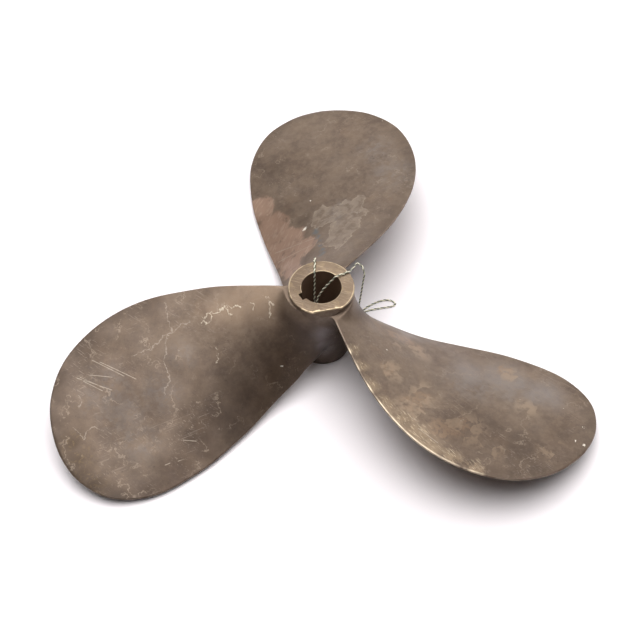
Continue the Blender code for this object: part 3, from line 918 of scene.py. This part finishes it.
# Each point of the casting keeps how far it is from the nearest blade's edge.
edge_line = screw_surface(outline[::4, 0], outline[::4, 1])
edge_tree = KDTree(len(edge_line) * BLADES)
for number in range(BLADES):
    spin = Matrix.Rotation(FIRST_BLADE_ANGLE + 2 * math.pi * number / BLADES, 3, "Z")
    for point in edge_line:
        edge_tree.insert(spin @ Vector(point), 0)
edge_tree.balance()
edge_gap = casting.data.attributes.new("edge_gap", "FLOAT", "POINT")
edge_gap.data.foreach_set("value", [edge_tree.find(corner.co)[2] for corner in casting.data.vertices])

place = node(tree, "TexCoord").outputs["Object"]
coarse_place = wobbled(place, 30 * MM, 5 * MM)
ragged_place = wobbled(place, 9 * MM, 3 * MM)
soft_place = wobbled(place, 45 * MM, 3 * MM)
line_place = wobbled(wobbled(place, 7 * MM, 2.4 * MM), 2.5 * MM, 0.8 * MM)
parts = node(tree, "SeparateXYZ", {"Vector": place}).outputs
height = parts["Z"]
level_place = node(tree, "CombineXYZ", {"X": parts["X"], "Y": parts["Y"]}).outputs["Vector"]
from_axis = node(tree, "VectorMath", {0: level_place}, operation="LENGTH").outputs["Value"]
from_edge = node(tree, "Attribute", attribute_name="edge_gap").outputs["Fac"]

# The skin: broad clouds of lighter and darker brown, mottled at the size of a fingertip.
skin = coat(linear(PATINA_DARK), PATINA_LIGHT, clouds(place, 55 * MM, 0.36, 0.64, detail=3))
skin = coat(skin, MOTTLE, clouds(place, 13 * MM, 0.36, 0.64, 5, 0.65))
skin = coat(skin, DARK_CLOUD, clouds(coarse_place, 20 * MM, 0.5, 0.72))
grey = clouds(ragged_place, 9 * MM, 0.36, 0.66, 5, 0.65)
# Grey patina patches, and painted reflections on the right blade's high side and the hub's front.
skin = coat(skin, GREY_SKIN_AND_REFLECTION, spot_mask(coarse_place, GREY_AND_REFLECTION_PLACES), grey)
skin = coat(skin, ROOT_LIGHT, spot_mask(coarse_place, ROOT_LIGHT_PLACES, 0))
# A painted reflection: cooler, lighter grey on the right blade's high side.
skin = coat(skin, SKY_REFLECTION_COAT, spot_mask(coarse_place, SKY_REFLECTION_PLACES, 0))
skin = coat(skin, OCHRE_CLOUD, clouds(ragged_place, 34 * MM, 0.6, 0.72))
skin = coat(skin, FINE_MOTTLE, clouds(place, 4.5 * MM, 0.4, 0.64, 5, 0.7))
skin = coat(skin, FINE_DARK, clouds(place, 3 * MM, 0.62, 0.74, 4, 0.65))

# Stains and films with ragged borders.
coppery = overlap(spot_mask(ragged_place, COPPERY_PLACES, 0.75), clouds(place, 9 * MM, 0.22, 0.44))
skin = coat(skin, COPPERY, coppery)
skin = coat(skin, COPPERY_FAN, coppery, streaks(place, 58, 26 * MM, 2.2 * MM, 0.5, 0.66))
pale = spot_mask(wobbled(place, 14 * MM, 7 * MM), PALE_PLACES, 0.8)
skin = coat(skin, PALE_FILM, pale, clouds(ragged_place, 8 * MM, 0.36, 0.64))
beyond_pale = node(tree, "Math", {0: 1, 1: pale}, operation="SUBTRACT").outputs["Value"]
skin = coat(skin, FILM_BORDER, pale, beyond_pale, clouds(place, 7 * MM, 0.38, 0.52))
ochre = spot_mask(ragged_place, OCHRE_PLACES, 0.5)
skin = coat(skin, OCHRE_STAIN, ochre, clouds(ragged_place, 4 * MM, 0.36, 0.6))
cells = node(tree, "TexVoronoi", {"Vector": wobbled(place, 5 * MM, 1 * MM), "Scale": 1 / (11 * MM)})
cell_tone = node(tree, "SeparateColor", {"Color": cells.outputs["Color"]}).outputs["Red"]
angular = overlap(fade(cell_tone, 0.6, 0.66), spot_mask(place, ANGULAR_PLACES, 0.3))
skin = coat(skin, ANGULAR_PATCH, angular, clouds(place, 5 * MM, 0.34, 0.56))
rust = spot_mask(coarse_place, RUST_PLACES, 0)
skin = coat(skin, RUST_STAIN, rust)
skin = coat(skin, RUST_FRINGE, rust, clouds(ragged_place, 2.4 * MM, 0.5, 0.64))
blue = spot_mask(line_place, BLUE_PLACES, 0.2)
skin = coat(skin, BLUE_STREAK, blue, clouds(place, 4 * MM, 0.26, 0.46))

# Painted shade in the roots, at the tips and outer edges and on the hub's side; a darker tarnish band along
# the blade edges; a painted reflection on the hub's front.
skin = coat(skin, ROOT_SHADE_COAT, spot_mask(soft_place, ROOT_SHADE_PLACES, 0), blend="MULTIPLY")
skin = coat(skin, EDGE_SHADE_COAT, spot_mask(soft_place, EDGE_SHADE_PLACES, 0), blend="MULTIPLY")
skin = coat(skin, TIP_SHADE_COAT, spot_mask(soft_place, TIP_SHADE_PLACES, 0.4), blend="MULTIPLY")
along_rim = overlap(fade(from_edge, 15 * MM, 3 * MM), clouds(place, 50 * MM, 0.4, 0.56))
skin = coat(skin, RIM_TARNISH, along_rim, blend="MULTIPLY")
# Painted shade on the hub's side and the blade roots next to it.
shade_beside_hub = overlap(fade(from_axis, 40 * MM, 27 * MM), fade(height, 34 * MM, 20 * MM))
skin = coat(skin, HUB_SIDE_SHADE_COAT, shade_beside_hub, clouds(place, 30 * MM, 0.2, 0.5), blend="MULTIPLY")
# A painted reflection down the front of the hub.
skin = coat(skin, HUB_REFLECTION_COAT, spot_mask(coarse_place, HUB_REFLECTION_PLACES, 0))

# The hub's turned end is cleaner, yellower metal, brightest along its rims.
on_top = overlap(
    fade(height, HUB_TOP - 1.5 * MM, HUB_TOP - 0.5 * MM),
    fade(from_axis, HUB_TOP_RADIUS + 2 * MM, HUB_TOP_RADIUS + 0.4 * MM),
)
skin = coat(skin, CLEAN_METAL, on_top)
skin = coat(skin, YELLOW_METAL, on_top, clouds(ragged_place, 6 * MM, 0.5, 0.68))
skin = coat(skin, BROWN_METAL, on_top, clouds(ragged_place, 5 * MM, 0.54, 0.7))
skin = coat(skin, RING_SCRATCH, on_top, streaks(place, -20, 12 * MM, 0.5 * MM, 0.56, 0.64))
# Painted shade on the left of the ring.
skin = coat(skin, RING_SHADE_COAT, on_top, spot_mask(place, RING_SHADE_PLACES, 0.2), blend="MULTIPLY")
outer_rim = fade(from_axis, HUB_TOP_RADIUS - 1.3 * MM, HUB_TOP_RADIUS - 0.5 * MM)
inner_rim = fade(from_axis, BORE_TOP_RADIUS + 0.8 * MM, BORE_TOP_RADIUS + 0.4 * MM)
flat_place = wobbled(place, 6 * MM, 1.4 * MM)
flat_gap = node(tree, "VectorMath", {0: flat_place, 1: rim_facing}, operation="DOT_PRODUCT").outputs["Value"]
flat_gap = node(tree, "Math", {0: flat_gap, 1: rim_edge @ rim_facing}, operation="SUBTRACT").outputs["Value"]
flat_rim = overlap(
    fade(height, HUB_TOP - 0.7 * MM, HUB_TOP - 0.2 * MM), fade(flat_gap, -1.1 * MM, -0.5 * MM),
)
round_rims = either(overlap(on_top, outer_rim), overlap(on_top, inner_rim, 0.6))
rims = either(overlap(round_rims, clouds(place, 9 * MM, 0.34, 0.56)), flat_rim)
skin = coat(skin, BRIGHT_RIM, rims)
in_bore = overlap(
    fade(from_axis, BORE_TOP_RADIUS + 0.2 * MM, BORE_TOP_RADIUS - 0.2 * MM),
    fade(height, HUB_TOP - 0.3 * MM, HUB_TOP - 1.1 * MM),
)
skin = coat(skin, BORE_METAL, in_bore)

# Rubbed metal along the edges and in fine scratches; on the right blade's front edge it is rubbed metal with
# a painted highlight, lighter in colour.
at_edge = fade(from_edge, 1.2 * MM, 0.6 * MM)
worn_edge = overlap(at_edge, clouds(place, 16 * MM, 0.36, 0.56), fade(from_axis, 26 * MM, 32 * MM))
rubbed_highlight_area = spot_mask(ragged_place, RUBBED_HIGHLIGHT_PLACES, 0.2)
near_edge = fade(from_edge, 24 * MM, 3 * MM)
rubbed_and_highlight = overlap(rubbed_highlight_area, near_edge, clouds(ragged_place, 7 * MM, 0.3, 0.55))
# Worn metal with a painted highlight along the rubbed front edge.
bright_edge_and_highlight = overlap(rubbed_highlight_area, fade(from_edge, 2 * MM, 1 * MM))
fine_scratches = either(
    streaks(place, -38, 40 * MM, 0.9 * MM, 0.6, 0.68), streaks(place, 24, 30 * MM, 0.8 * MM, 0.63, 0.7),
)
skin = coat(skin, WORN_EDGE, worn_edge)
skin = coat(skin, RUBBED_METAL_AND_HIGHLIGHT, rubbed_and_highlight)
skin = coat(skin, BRIGHT_EDGE_AND_HIGHLIGHT, bright_edge_and_highlight)
skin = coat(skin, FINE_SCRATCH, fine_scratches, clouds(place, 38 * MM, 0.5, 0.62))
skin = coat(skin, EDGE_SCRATCH, rubbed_highlight_area, streaks(place, -48, 20 * MM, 0.7 * MM, 0.56, 0.63))

# Scratches, wandering pale lines, dried lime and flecks that lie on the skin.
broken = clouds(place, 6 * MM, 0.28, 0.46)
scratch_lines = line_mask(place, SCRATCHES, SCRATCH_WIDTH)
skin = coat(skin, SCRATCH, scratch_lines, broken)
skin = coat(skin, WANDERING_LINE, line_mask(line_place, WANDERING_LINES, LINE_WIDTH), broken)
lime = overlap(line_mask(line_place, LIME_TRACES, LINE_WIDTH), broken)
skin = coat(skin, DRIED_LIME, lime)
contour = node(tree, "TexNoise", {"Vector": place, "Scale": 1 / (25 * MM), "Detail": 5, "Roughness": 0.62})
contour = node(tree, "Math", {0: contour.outputs["Fac"], 1: 0.5}, operation="SUBTRACT").outputs["Value"]
contour = node(tree, "Math", {0: contour}, operation="ABSOLUTE").outputs["Value"]
hair_lines = overlap(fade(contour, 0.014, 0.004), clouds(coarse_place, 26 * MM, 0.5, 0.62))
skin = coat(skin, HAIR_LINE, hair_lines, fade(from_axis, 28 * MM, 40 * MM))
specks = node(tree, "TexVoronoi", {"Vector": line_place, "Scale": SPECKS_PER_MM / MM}).outputs
speck_tone = node(tree, "SeparateColor", {"Color": specks["Color"]}).outputs["Red"]
skin = coat(skin, SPECK, fade(specks["Distance"], 0.06, 0.03), fade(speck_tone, 0.8, 0.84))
skin = coat(skin, FLECK, spot_mask(wobbled(place, 1.5 * MM, 1.3 * MM), FLECKS, 0.5))
tree.links.new(skin, shader.inputs["Base Color"])

# Tarnish is dull and only half metallic; rubbed places shine.
bare = either(rubbed_and_highlight, overlap(worn_edge, 0.7), bright_edge_and_highlight, rims)
metal = node(tree, "MapRange", {"Value": bare, "To Min": METAL_SHARES[0], "To Max": METAL_SHARES[1]})
tree.links.new(metal.outputs["Result"], shader.inputs["Metallic"])
dull = clouds(place, 18 * MM, 0.35, 0.65)
dull = node(tree, "MapRange", {"Value": dull, "To Min": DULL_ROUGHNESS[0], "To Max": DULL_ROUGHNESS[1]})
gloss = node(tree, "Mix", {"Factor": overlap(bare, 0.7), "A": dull.outputs["Result"], "B": BARE_ROUGHNESS})
tree.links.new(gloss.outputs["Result"], shader.inputs["Roughness"])

# The ground surface is slightly uneven, with fine pits; scratches are cut in and lime stands up.
uneven = node(tree, "TexNoise", {"Vector": place, "Scale": WAVES_PER_MM / MM, "Detail": 2, "Roughness": 0.5})
pitted = node(tree, "TexNoise", {"Vector": place, "Scale": PITS_PER_MM / MM, "Detail": 4, "Roughness": 0.65})
marked = node(tree, "Math", {0: lime, 1: scratch_lines}, operation="SUBTRACT")
relief = node(tree, "Bump", {"Height": uneven.outputs["Fac"], "Strength": 0.5, "Distance": WAVE_HEIGHT})
for surface, strength, depth in (
    (pitted.outputs["Fac"], 0.25, PIT_DEPTH), (marked.outputs["Value"], 0.4, MARK_HEIGHT),
):
    relief = node(
        tree, "Bump",
        {"Height": surface, "Normal": relief.outputs["Normal"], "Strength": strength, "Distance": depth},
    )
tree.links.new(relief.outputs["Normal"], shader.inputs["Normal"])
casting.data.materials.clear()
casting.data.materials.append(bronze)
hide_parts("propeller_casting")
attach(casting, "root")
